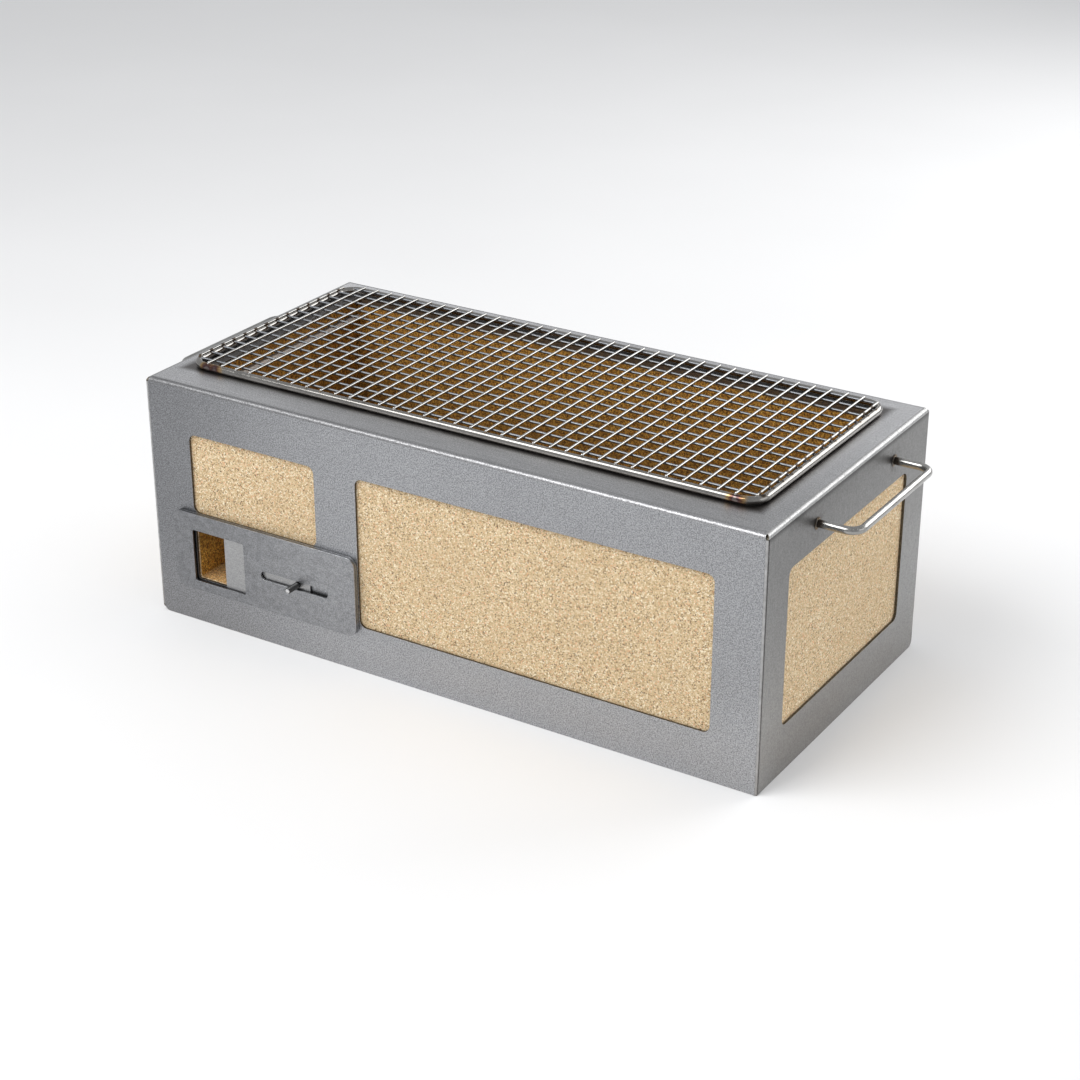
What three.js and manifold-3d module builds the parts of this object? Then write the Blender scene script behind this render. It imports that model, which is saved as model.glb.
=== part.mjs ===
// Table-top charcoal grill (hibachi): a folded sheet-steel casing lined with
// insulating boards, with a sliding air damper at the lower left of the front,
// a bent-rod handle at each end, a charcoal grate and a lift-off cooking grid.
// Millimetres. Origin at the centre of the underside, +X along the length,
// -Y towards the damper, +Z up.

import * as THREE from 'three';
import { mergeVertices } from 'three/addons/utils/BufferGeometryUtils.js';
import Module from 'manifold-3d';

const wasm = await Module();
wasm.setup();

// ---------------------------------------------------------------- dimensions
const OVERALL_HEIGHT = 210;
const CASING_LENGTH = 540;
const CASING_DEPTH = 265;
const GAP = 0.3; // clearance kept between neighbouring pieces

// cooking grid
const ROD = 6; // diameter of the frame rod
const WIRE = 2; // diameter of the grid wires
const GRID = { left: -256, right: 246.5, front: -100, rear: 112.5, corner: 14 };
const CROSS_WIRES = { edge: -252, first: -236.2, count: 36, pitch: 13.6, setback: 2.4 };
const LONG_WIRES = { count: 15, first: 106.5, pitch: 13.9, setback: 1.4 };
const WELD_SINK = 0.25; // depth that a wire melts into the rod it is welded on

// casing
const CASING_HEIGHT = OVERALL_HEIGHT - ROD - WIRE + WELD_SINK - GAP;
const SHEET = 2;
const BEND = 3; // outer radius of the top folds
const RELIEF = { radius: 1.3, reach: 4, sides: 8 }; // hole where two folds and a seam meet
const RIM = { left: 32, right: 32, front: 40, rear: 27 }; // widths of the top rim
const RIM_CORNER = 4;
const CORNER = 6; // corner radius of the side windows
const WINDOW_BOTTOM = 38.5;
const WINDOW_TOP = 162.5;
const FRONT_WINDOWS = [
  { from: -230, to: -110, bottom: 96, top: WINDOW_TOP },
  { from: -71.5, to: 231, bottom: WINDOW_BOTTOM, top: WINDOW_TOP },
];
const REAR_WINDOWS = [
  { from: -231, to: -20, bottom: WINDOW_BOTTOM, top: WINDOW_TOP },
  { from: 20, to: 231, bottom: WINDOW_BOTTOM, top: WINDOW_TOP },
];
const SIDE_WINDOW = { from: -97.5, to: 97.5, bottom: WINDOW_BOTTOM, top: WINDOW_TOP };

// insulating boards
const FLOOR_BOARD = 35;
const WALL_BOARD = 25;
const FRONT_BOARD = 36;

// air inlet: the cover plate stands on a guide frame, and the damper slides between
const COVER = { from: -248, to: -72, bottom: 30.5, top: 96.8, corner: 8, sheet: 2 };
const GUIDE = { rail: 6, lip: 2.5, thickness: 1.8, corner: 2 };
const INLET = { from: -229.5, to: -179, bottom: 38.5, top: 82.5, corner: 1.5 };
const SLOT = { from: -162.5, to: -98, z: 60.5, width: 7 };
const DAMPER = { from: -200, to: -116.5, thickness: 1.2, corner: 3, play: 0.5 };
const STUD = { x: -128, diameter: 5, proud: 11, chamfer: 0.7 };

// ledges that a second grid can rest on, let into grooves in the end boards
const LEDGE = { below_rim: 16, thickness: 2, proud: 5, sunk: 12, end_gap: 1 };

// charcoal grate
const GRATE = { length: 460, top: 70, bar: 5, bars: 13, pitch: 14 };
const GRATE_CROSS = { at: 185, foot: 91.5, bend: 7 };

// handles
const HANDLE = { rod: 6, z: 181.5, y: 7, span: 128, reach: 30.8, bend: 10 };
const WELD = { width: 2.4, height: 1.2 };

const ARC_STEPS = 4;
const ROD_SIDES = 10;
const WIRE_SIDES = 6;
const BAR_SIDES = 8;
const TURNED_SIDES = 16;

// derived positions
const HALF_LENGTH = CASING_LENGTH / 2;
const HALF_DEPTH = CASING_DEPTH / 2;
const INSIDE_X = HALF_LENGTH - SHEET - GAP;
const INSIDE_Y = HALF_DEPTH - SHEET - GAP;
const FLOOR_TOP = SHEET + GAP + FLOOR_BOARD;
const BOARD_TOP = CASING_HEIGHT - SHEET - GAP;
const FIREBOX = {
  right: INSIDE_X - WALL_BOARD, // and the same to the left
  front: -INSIDE_Y + FRONT_BOARD,
  rear: INSIDE_Y - WALL_BOARD,
};
const LEDGE_Z = CASING_HEIGHT - LEDGE.below_rim;
const FRONT_FACE = -HALF_DEPTH;
const GUIDE_FACE = FRONT_FACE - GAP - GUIDE.thickness;
const COVER_BACK = GUIDE_FACE - GAP;
const COVER_FACE = COVER_BACK - COVER.sheet;
const DAMPER_FACE = (FRONT_FACE + COVER_BACK - DAMPER.thickness) / 2;
const GRID_ROD_Z = CASING_HEIGHT + GAP + ROD / 2;
const CROSS_WIRE_Z = OVERALL_HEIGHT - WIRE / 2;
const LONG_WIRE_Z = CROSS_WIRE_Z - WIRE - GAP;

// ---------------------------------------------------------------- solids
function toSolid(geometry) {
  const bare = geometry.clone();
  bare.deleteAttribute('normal');
  bare.deleteAttribute('uv');
  const merged = mergeVertices(bare);
  return new wasm.Manifold(
    new wasm.Mesh({
      numProp: 3,
      vertProperties: new Float32Array(merged.attributes.position.array),
      triVerts: new Uint32Array(merged.index.array),
    }),
  );
}

function toGeometry(solid) {
  const mesh = solid.getMesh();
  const geometry = new THREE.BufferGeometry();
  geometry.setAttribute('position', new THREE.BufferAttribute(mesh.vertProperties, 3));
  geometry.setIndex(new THREE.BufferAttribute(mesh.triVerts, 1));
  const flat = geometry.toNonIndexed();
  flat.computeVertexNormals();
  return flat;
}

function cut(geometry, ...tools) {
  const start = toSolid(geometry);
  return toGeometry(tools.reduce((solid, tool) => solid.subtract(toSolid(tool)), start));
}

function join(first, ...others) {
  const start = toSolid(first);
  return toGeometry(others.reduce((solid, other) => solid.add(toSolid(other)), start));
}

function common(first, second) {
  return toGeometry(toSolid(first).intersect(toSolid(second)));
}

function box(low, high) {
  const size = high.map((value, axis) => value - low[axis]);
  const middle = high.map((value, axis) => (value + low[axis]) / 2);
  return new THREE.BoxGeometry(...size).translate(...middle);
}

// A rectangle with rounded corners; radii run anticlockwise from the lower left.
function roundedRectangle(left, bottom, right, top, radii) {
  const [a, b, c, d] = Array.isArray(radii) ? radii : [radii, radii, radii, radii];
  const shape = new THREE.Shape();
  shape.moveTo(left + a, bottom);
  shape.lineTo(right - b, bottom);
  if (b) shape.absarc(right - b, bottom + b, b, -Math.PI / 2, 0);
  shape.lineTo(right, top - c);
  if (c) shape.absarc(right - c, top - c, c, 0, Math.PI / 2);
  shape.lineTo(left + d, top);
  if (d) shape.absarc(left + d, top - d, d, Math.PI / 2, Math.PI);
  shape.lineTo(left, bottom + a);
  if (a) shape.absarc(left + a, bottom + a, a, Math.PI, Math.PI * 1.5);
  return shape;
}

function extrude(shape, depth) {
  const options = { depth, bevelEnabled: false, curveSegments: ARC_STEPS };
  return new THREE.ExtrudeGeometry(shape, options);
}

// Extrusions of a shape drawn in (x, z) along Y, in (y, z) along X and in (x, y) along Z.
const TO_XZ = new THREE.Matrix4().makeBasis(
  new THREE.Vector3(1, 0, 0),
  new THREE.Vector3(0, 0, 1),
  new THREE.Vector3(0, -1, 0),
);
const TO_YZ = new THREE.Matrix4().makeBasis(
  new THREE.Vector3(0, 1, 0),
  new THREE.Vector3(0, 0, 1),
  new THREE.Vector3(1, 0, 0),
);
const alongY = (shape, from, to) =>
  extrude(shape, to - from)
    .applyMatrix4(TO_XZ)
    .translate(0, to, 0);
const alongX = (shape, from, to) =>
  extrude(shape, to - from)
    .applyMatrix4(TO_YZ)
    .translate(from, 0, 0);
const alongZ = (shape, from, to) => extrude(shape, to - from).translate(0, 0, from);

const windowShape = (w, radius) => roundedRectangle(w.from, w.bottom, w.to, w.top, radius);

// A path given by its stations, so that a swept rod has one ring of vertices at each.
class StationPath extends THREE.Curve {
  constructor(stations) {
    super();
    this.stations = stations;
  }

  station(u) {
    return this.stations[Math.round(u * (this.stations.length - 1))];
  }

  getPoint(u, target = new THREE.Vector3()) {
    return target.copy(this.station(u).point);
  }

  getPointAt(u, target) {
    return this.getPoint(u, target);
  }

  getTangentAt(u, target = new THREE.Vector3()) {
    return target.copy(this.station(u).tangent);
  }
}

// Stations along straight runs between corners, with each inner corner rounded to a radius.
function roundedStations(corners, radius, arcSteps) {
  const stations = [];
  const last = corners.length - 1;
  const heading = (i) => corners[i + 1].clone().sub(corners[i]).normalize();
  stations.push({ point: corners[0], tangent: heading(0) });
  for (let i = 1; i < last; i += 1) {
    const before = heading(i - 1);
    const after = heading(i);
    const start = corners[i].clone().addScaledVector(before, -radius);
    const centre = start.clone().addScaledVector(after, radius);
    for (let step = 0; step <= arcSteps; step += 1) {
      const angle = ((Math.PI / 2) * step) / arcSteps;
      const point = centre.clone();
      point.addScaledVector(after, -radius * Math.cos(angle));
      point.addScaledVector(before, radius * Math.sin(angle));
      const tangent = before.clone().multiplyScalar(Math.cos(angle));
      tangent.addScaledVector(after, Math.sin(angle));
      stations.push({ point, tangent });
    }
  }
  stations.push({ point: corners[last], tangent: heading(last - 1) });
  return stations;
}

function bentRod(corners, diameter, radius, sides = ROD_SIDES) {
  const stations = roundedStations(corners, radius, ARC_STEPS);
  const section = new THREE.Shape();
  for (let i = 0; i < sides; i += 1) {
    const angle = (2 * Math.PI * i) / sides;
    const [x, y] = [Math.cos(angle) * (diameter / 2), Math.sin(angle) * (diameter / 2)];
    if (i === 0) section.moveTo(x, y);
    else section.lineTo(x, y);
  }
  section.closePath();
  return new THREE.ExtrudeGeometry(section, {
    steps: stations.length - 1,
    bevelEnabled: false,
    extrudePath: new StationPath(stations),
  });
}

function straightRod(from, to, diameter, sides = ROD_SIDES) {
  const axis = to.clone().sub(from);
  const rod = new THREE.CylinderGeometry(diameter / 2, diameter / 2, axis.length(), sides);
  const turn = new THREE.Quaternion();
  turn.setFromUnitVectors(new THREE.Vector3(0, 1, 0), axis.clone().normalize());
  const middle = from.clone().add(to).multiplyScalar(0.5);
  return rod.applyQuaternion(turn).translate(...middle);
}

const at = (x, y, z) => new THREE.Vector3(x, y, z);

// ---------------------------------------------------------------- casing
// One sheet: a top rim with four walls folded down from it and welded along
// their upright edges. The folds leave a small relief hole at each top corner.
function foldedBox(inset, bend, floor) {
  const top = CASING_HEIGHT - inset;
  const x = HALF_LENGTH - inset;
  const y = HALF_DEPTH - inset;
  const lengthwise = roundedRectangle(-x, floor, x, top, [0, 0, bend, bend]);
  const crosswise = roundedRectangle(-y, floor, y, top, [0, 0, bend, bend]);
  return common(alongY(lengthwise, -y, y), alongX(crosswise, -x, x));
}

function reliefHoles() {
  const holes = [];
  for (const sx of [-1, 1]) {
    for (const sy of [-1, 1]) {
      const corner = at(sx * HALF_LENGTH, sy * HALF_DEPTH, CASING_HEIGHT);
      const outwards = at(sx, sy, 1).normalize();
      const from = corner.clone().addScaledVector(outwards, -RELIEF.reach);
      const to = corner.clone().addScaledVector(outwards, RELIEF.reach);
      holes.push(straightRod(from, to, 2 * RELIEF.radius, RELIEF.sides));
    }
  }
  return holes;
}

function casing() {
  const through = 2 * SHEET;
  const opening = roundedRectangle(
    -HALF_LENGTH + RIM.left,
    -HALF_DEPTH + RIM.front,
    HALF_LENGTH - RIM.right,
    HALF_DEPTH - RIM.rear,
    RIM_CORNER,
  );
  const front = [...FRONT_WINDOWS.map((w) => windowShape(w, CORNER)), windowShape(INLET, INLET.corner)];
  const rear = REAR_WINDOWS.map((w) => windowShape(w, CORNER));
  const side = windowShape(SIDE_WINDOW, CORNER);
  return cut(
    foldedBox(0, BEND, 0),
    foldedBox(SHEET, BEND - SHEET, -SHEET),
    alongZ(opening, CASING_HEIGHT - through, CASING_HEIGHT + through),
    ...front.map((shape) => alongY(shape, -HALF_DEPTH - through, -HALF_DEPTH + through)),
    ...rear.map((shape) => alongY(shape, HALF_DEPTH - through, HALF_DEPTH + through)),
    alongX(side, -HALF_LENGTH - through, -HALF_LENGTH + through),
    alongX(side, HALF_LENGTH - through, HALF_LENGTH + through),
    ...reliefHoles(),
  );
}

const basePlate = () => box([-INSIDE_X, -INSIDE_Y, 0], [INSIDE_X, INSIDE_Y, SHEET]);

// ---------------------------------------------------------------- lining
const floorBoard = () => box([-INSIDE_X, -INSIDE_Y, SHEET + GAP], [INSIDE_X, INSIDE_Y, FLOOR_TOP]);

const WALL_FOOT = FLOOR_TOP + GAP;

function frontBoard() {
  const board = box([-INSIDE_X, -INSIDE_Y, WALL_FOOT], [INSIDE_X, FIREBOX.front, BOARD_TOP]);
  const channel = windowShape(INLET, INLET.corner);
  return cut(board, alongY(channel, -HALF_DEPTH, FIREBOX.front + SHEET));
}

const rearBoard = () => box([-INSIDE_X, FIREBOX.rear, WALL_FOOT], [INSIDE_X, INSIDE_Y, BOARD_TOP]);

// side is -1 at the left end and 1 at the right end
function endBoard(side) {
  const [near, far] = [FIREBOX.front + GAP, FIREBOX.rear - GAP];
  const spanX = (a, b) => [Math.min(a * side, b * side), Math.max(a * side, b * side)];
  const [x0, x1] = spanX(FIREBOX.right, INSIDE_X);
  const [g0, g1] = spanX(FIREBOX.right - SHEET, FIREBOX.right + LEDGE.sunk + GAP);
  const grooveTop = LEDGE_Z + GAP;
  const grooveFoot = LEDGE_Z - LEDGE.thickness - GAP;
  return cut(
    box([x0, near, WALL_FOOT], [x1, far, BOARD_TOP]),
    box([g0, near - SHEET, grooveFoot], [g1, far + SHEET, grooveTop]),
  );
}

function ledge(side) {
  const [inner, outer] = [FIREBOX.right - LEDGE.proud, FIREBOX.right + LEDGE.sunk];
  const ends = [inner * side, outer * side].sort((a, b) => a - b);
  const near = FIREBOX.front + GAP + LEDGE.end_gap;
  const far = FIREBOX.rear - GAP - LEDGE.end_gap;
  return box([ends[0], near, LEDGE_Z - LEDGE.thickness], [ends[1], far, LEDGE_Z]);
}

// ---------------------------------------------------------------- air inlet
function coverPlate() {
  const plate = alongY(windowShape(COVER, COVER.corner), COVER_FACE, COVER_BACK);
  const through = [COVER_FACE - SHEET, COVER_BACK + SHEET];
  const half = SLOT.width / 2;
  const slot = roundedRectangle(SLOT.from, SLOT.z - half, SLOT.to, SLOT.z + half, half);
  return cut(
    plate,
    alongY(windowShape(INLET, INLET.corner), ...through),
    alongY(slot, ...through),
  );
}

const GUIDE_INSIDE = {
  from: COVER.from + GUIDE.rail,
  to: COVER.to - GUIDE.rail,
  bottom: INLET.bottom - GUIDE.lip,
  top: INLET.top + GUIDE.lip,
};

function guideFrame() {
  const back = FRONT_FACE - GAP;
  const frame = alongY(windowShape(COVER, COVER.corner), GUIDE_FACE, back);
  const inside = windowShape(GUIDE_INSIDE, GUIDE.corner);
  return cut(frame, alongY(inside, GUIDE_FACE - SHEET, back + SHEET));
}

function damper() {
  const outline = {
    from: DAMPER.from,
    to: DAMPER.to,
    bottom: GUIDE_INSIDE.bottom + DAMPER.play,
    top: GUIDE_INSIDE.top - DAMPER.play,
  };
  return alongY(windowShape(outline, DAMPER.corner), DAMPER_FACE, DAMPER_FACE + DAMPER.thickness);
}

function damperStud() {
  const radius = STUD.diameter / 2;
  const base = DAMPER_FACE - GAP;
  const length = base - (COVER_FACE - STUD.proud);
  const profile = [
    new THREE.Vector2(0, 0),
    new THREE.Vector2(radius, 0),
    new THREE.Vector2(radius, length - STUD.chamfer),
    new THREE.Vector2(radius - STUD.chamfer, length),
    new THREE.Vector2(0, length),
  ];
  return new THREE.LatheGeometry(profile, TURNED_SIDES)
    .rotateX(Math.PI)
    .translate(STUD.x, base, SLOT.z);
}

// ---------------------------------------------------------------- handles
const HANDLE_ENDS = [HANDLE.y - HANDLE.span / 2, HANDLE.y + HANDLE.span / 2];

function handle(side) {
  const root = side * (HALF_LENGTH + GAP);
  const grip = side * (HALF_LENGTH + HANDLE.reach);
  const [near, far] = HANDLE_ENDS;
  const corners = [
    at(root, near, HANDLE.z),
    at(grip, near, HANDLE.z),
    at(grip, far, HANDLE.z),
    at(root, far, HANDLE.z),
  ];
  return bentRod(corners, HANDLE.rod, HANDLE.bend);
}

// A fillet of weld around a handle's root, a ring with a triangular section.
function handleWeld(side, y) {
  const bore = HANDLE.rod / 2 + GAP;
  const profile = [
    new THREE.Vector2(bore, 0),
    new THREE.Vector2(bore + WELD.width, 0),
    new THREE.Vector2(bore, WELD.height),
    new THREE.Vector2(bore, 0),
  ];
  return new THREE.LatheGeometry(profile, TURNED_SIDES)
    .rotateZ((-side * Math.PI) / 2)
    .translate(side * (HALF_LENGTH + GAP), y, HANDLE.z);
}

// ---------------------------------------------------------------- charcoal grate
// Bars along the length, carried on two bent cross rods whose ends are the feet.
function charcoalGrate() {
  const middle = (FIREBOX.front + FIREBOX.rear) / 2;
  const radius = GRATE.bar / 2;
  const barZ = GRATE.top - radius;
  const crossZ = barZ - GRATE.bar + WELD_SINK;
  const bars = [];
  for (let i = 0; i < GRATE.bars; i += 1) {
    const y = middle + (i - (GRATE.bars - 1) / 2) * GRATE.pitch;
    const [from, to] = [at(-GRATE.length / 2, y, barZ), at(GRATE.length / 2, y, barZ)];
    bars.push(straightRod(from, to, GRATE.bar, BAR_SIDES));
  }
  for (const x of [-GRATE_CROSS.at, GRATE_CROSS.at]) {
    const corners = [
      at(x, middle - GRATE_CROSS.foot, FLOOR_TOP + GAP),
      at(x, middle - GRATE_CROSS.foot, crossZ),
      at(x, middle + GRATE_CROSS.foot, crossZ),
      at(x, middle + GRATE_CROSS.foot, FLOOR_TOP + GAP),
    ];
    bars.push(bentRod(corners, GRATE.bar, GRATE_CROSS.bend, BAR_SIDES));
  }
  return join(...bars);
}

// ---------------------------------------------------------------- cooking grid
// Half of the frame rod, from the middle of the front round one end to the middle
// of the rear, with a little overlap for the butt welds.
function frameHalf(side) {
  const inset = ROD / 2;
  const middle = (GRID.left + GRID.right) / 2;
  const end = side < 0 ? GRID.left + inset : GRID.right - inset;
  const start = middle - side * GAP;
  const corners = [
    at(start, GRID.front + inset, GRID_ROD_Z),
    at(end, GRID.front + inset, GRID_ROD_Z),
    at(end, GRID.rear - inset, GRID_ROD_Z),
    at(start, GRID.rear - inset, GRID_ROD_Z),
  ];
  return bentRod(corners, ROD, GRID.corner);
}

// How far the rounded corners of the frame draw in a wire that lies at this
// position between two sides.
function cornerInset(position, low, high) {
  const beyond = Math.max(low + ROD / 2 - position, position - high + ROD / 2, -GRID.corner);
  return GRID.corner - Math.sqrt(GRID.corner ** 2 - (beyond + GRID.corner) ** 2);
}

// Every wire is welded to the frame rod at both ends; the cross wires pass over
// the long ones, and the first of them lies along the left rod.
function cookingGrid() {
  const across = [CROSS_WIRES.edge];
  for (let i = 0; i < CROSS_WIRES.count; i += 1) {
    across.push(CROSS_WIRES.first + i * CROSS_WIRES.pitch);
  }
  const wires = across.map((x) => {
    const inset = CROSS_WIRES.setback + cornerInset(x, GRID.left, GRID.right);
    const from = at(x, GRID.front + inset, CROSS_WIRE_Z);
    return straightRod(from, at(x, GRID.rear - inset, CROSS_WIRE_Z), WIRE, WIRE_SIDES);
  });
  for (let i = 0; i < LONG_WIRES.count; i += 1) {
    const y = LONG_WIRES.first - i * LONG_WIRES.pitch;
    const inset = ROD / 2 + LONG_WIRES.setback + cornerInset(y, GRID.front, GRID.rear);
    const from = at(GRID.left + inset, y, LONG_WIRE_Z);
    wires.push(straightRod(from, at(GRID.right - inset, y, LONG_WIRE_Z), WIRE, WIRE_SIDES));
  }
  return join(frameHalf(-1), frameHalf(1), ...wires);
}

// ---------------------------------------------------------------- assembly
const finish = (color, roughness, metalness) =>
  new THREE.MeshStandardMaterial({ color, roughness, metalness });

const STEEL = () => finish(0x8f9194, 0.42, 1);
const BRIGHT_STEEL = () => finish(0xb9bab8, 0.22, 1);
const BOARD = () => finish(0xd2b78c, 0.95, 0);

const grill = new THREE.Group();

function add(name, geometry, material) {
  const mesh = new THREE.Mesh(geometry, material);
  mesh.name = name;
  grill.add(mesh);
}

add('casing', casing(), STEEL());
add('base_plate', basePlate(), STEEL());
add('floor_board', floorBoard(), BOARD());
add('front_board', frontBoard(), BOARD());
add('rear_board', rearBoard(), BOARD());
add('left_board', endBoard(-1), BOARD());
add('right_board', endBoard(1), BOARD());
add('left_ledge', ledge(-1), STEEL());
add('right_ledge', ledge(1), STEEL());
add('damper_guide', guideFrame(), STEEL());
add('damper_cover', coverPlate(), STEEL());
add('damper_plate', damper(), STEEL());
add('damper_stud', damperStud(), BRIGHT_STEEL());
for (const [end, side] of [['left', -1], ['right', 1]]) {
  add(`${end}_handle`, handle(side), BRIGHT_STEEL());
  add(`${end}_handle_weld_front`, handleWeld(side, HANDLE_ENDS[0]), STEEL());
  add(`${end}_handle_weld_rear`, handleWeld(side, HANDLE_ENDS[1]), STEEL());
}
add('charcoal_grate', charcoalGrate(), STEEL());
add('cooking_grid', cookingGrid(), BRIGHT_STEEL());

export default grill;
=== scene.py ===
"""Table-top charcoal grill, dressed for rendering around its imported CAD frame.

Metres, in the frame's own axes: +X along the length, -Y towards the damper, +Z up.
The sheet-metal casing, the damper, the welds and every rod are built again here as
finer meshes on the CAD sizes; the boards, ledges and base plate keep their CAD
meshes and get bevels and materials.
"""

import math
import random

import bmesh
import bpy
from mathutils import Matrix, Vector


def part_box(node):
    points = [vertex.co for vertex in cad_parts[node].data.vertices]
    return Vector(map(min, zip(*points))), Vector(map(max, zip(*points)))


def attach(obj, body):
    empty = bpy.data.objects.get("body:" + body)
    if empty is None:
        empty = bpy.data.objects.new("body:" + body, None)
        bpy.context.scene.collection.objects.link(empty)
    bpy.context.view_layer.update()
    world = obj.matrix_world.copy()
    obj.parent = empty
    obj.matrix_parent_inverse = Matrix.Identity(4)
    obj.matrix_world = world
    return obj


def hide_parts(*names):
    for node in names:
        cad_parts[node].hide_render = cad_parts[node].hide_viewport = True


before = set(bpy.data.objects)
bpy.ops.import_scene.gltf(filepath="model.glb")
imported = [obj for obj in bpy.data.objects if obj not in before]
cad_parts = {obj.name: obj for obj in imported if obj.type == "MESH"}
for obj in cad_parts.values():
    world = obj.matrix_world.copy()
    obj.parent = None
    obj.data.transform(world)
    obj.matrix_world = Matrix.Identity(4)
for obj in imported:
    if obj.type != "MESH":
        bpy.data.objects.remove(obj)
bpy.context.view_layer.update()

MM = 0.001
rng = random.Random(7)

# ------------------------------------------------------------------ sizes
casing_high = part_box("casing")[1]
HALF_X, HALF_Y, TOP = casing_high.x, casing_high.y, casing_high.z
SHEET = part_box("base_plate")[1].z
FLOOR_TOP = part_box("floor_board")[1].z
LEDGE_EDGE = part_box("right_ledge")[0].x
REAR_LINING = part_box("rear_board")[0].y
LINED_X = HALF_X - SHEET - 1.3 * MM  # just inside the boards' outer faces
LINED_Y = HALF_Y - SHEET - 1.3 * MM
BEND = 3 * MM  # outer radius of the folds along the top
RIM = {"left": 32 * MM, "right": 32 * MM, "front": 40 * MM, "rear": 27 * MM}
RIM_CORNER = 4 * MM
WINDOW_CORNER = 6 * MM
WINDOW_Z = (38.5 * MM, 162.5 * MM)
FRONT_WINDOWS = [  # left, bottom, right, top, as for the other openings
    (-230 * MM, 96 * MM, -110 * MM, WINDOW_Z[1]),
    (-71.5 * MM, WINDOW_Z[0], 231 * MM, WINDOW_Z[1]),
]
REAR_WINDOWS = [
    (-231 * MM, WINDOW_Z[0], -20 * MM, WINDOW_Z[1]),
    (20 * MM, WINDOW_Z[0], 231 * MM, WINDOW_Z[1]),
]
SIDE_WINDOW = (-97.5 * MM, WINDOW_Z[0], 97.5 * MM, WINDOW_Z[1])
SEAM_FRONT = 1.9 * MM  # how far the front and rear walls stop short of the corners
SEAM_SIDE = 0.5 * MM  # and how far the side walls do
RELIEF = 0.8 * MM  # depth of the notch where two folds meet
FOOT_CORNER = 5 * MM  # rounding of one lower corner of each wall
FOOT_SHARP = 0.6 * MM  # and of the other
CUT_EDGE_BEVEL = 0.2 * MM

INLET = (-229.5 * MM, 38.5 * MM, -179 * MM, 82.5 * MM)
INLET_CORNER = 1.5 * MM
SLOT_X = (-162.5 * MM, -98 * MM)
SLOT_HALF = 3.5 * MM
GUIDE_RAIL = 6 * MM  # width of the guide's rails beside the damper
GUIDE_LIP = 2.5 * MM  # how far the guide's opening reaches past the inlet
COVER_CORNER = 8 * MM
DAMPER_CORNER = 3 * MM
THREAD = {"pitch": 0.8 * MM, "depth": 0.32 * MM, "plain_end": 2 * MM, "chamfer": 0.7 * MM}

HANDLE_ROD = 6 * MM
HANDLE_BEND = 10 * MM

GRATE_BAR = 5 * MM
GRATE_BARS = {"count": 13, "pitch": 14 * MM}
GRATE_CROSS_X = 185 * MM
GRATE_BEND = 7 * MM
GRATE_WELD_SINK = 0.4 * MM

# Setbacks are how far the wires' ends stay behind the frame rod's outer side.
ROD = 6 * MM
WIRE = 2 * MM
GRID_CORNER = 14 * MM
CROSS_WIRES = {"edge": -252 * MM, "first": -236.2 * MM, "count": 36, "pitch": 13.6 * MM}
LONG_WIRES = {"first": 106.5 * MM, "count": 15, "pitch": -13.9 * MM}
CROSS_SETBACK = 2.4 * MM
LONG_SETBACK = 1.4 * MM  # from the rod's centre line
WIRE_BOW = 0.15 * MM  # how far a wire strays from straight
WIRE_STRAY = 0.25 * MM  # and its ends from their place
WIRE_DIP = 0.25 * MM  # depth that a cross wire's ends melt into the rod
CROSS_NUGGET = (1.3 * MM, 1.4 * MM, 0.5 * MM)
LONG_NUGGET = (1.0 * MM, 1.4 * MM, 1.0 * MM)


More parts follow.
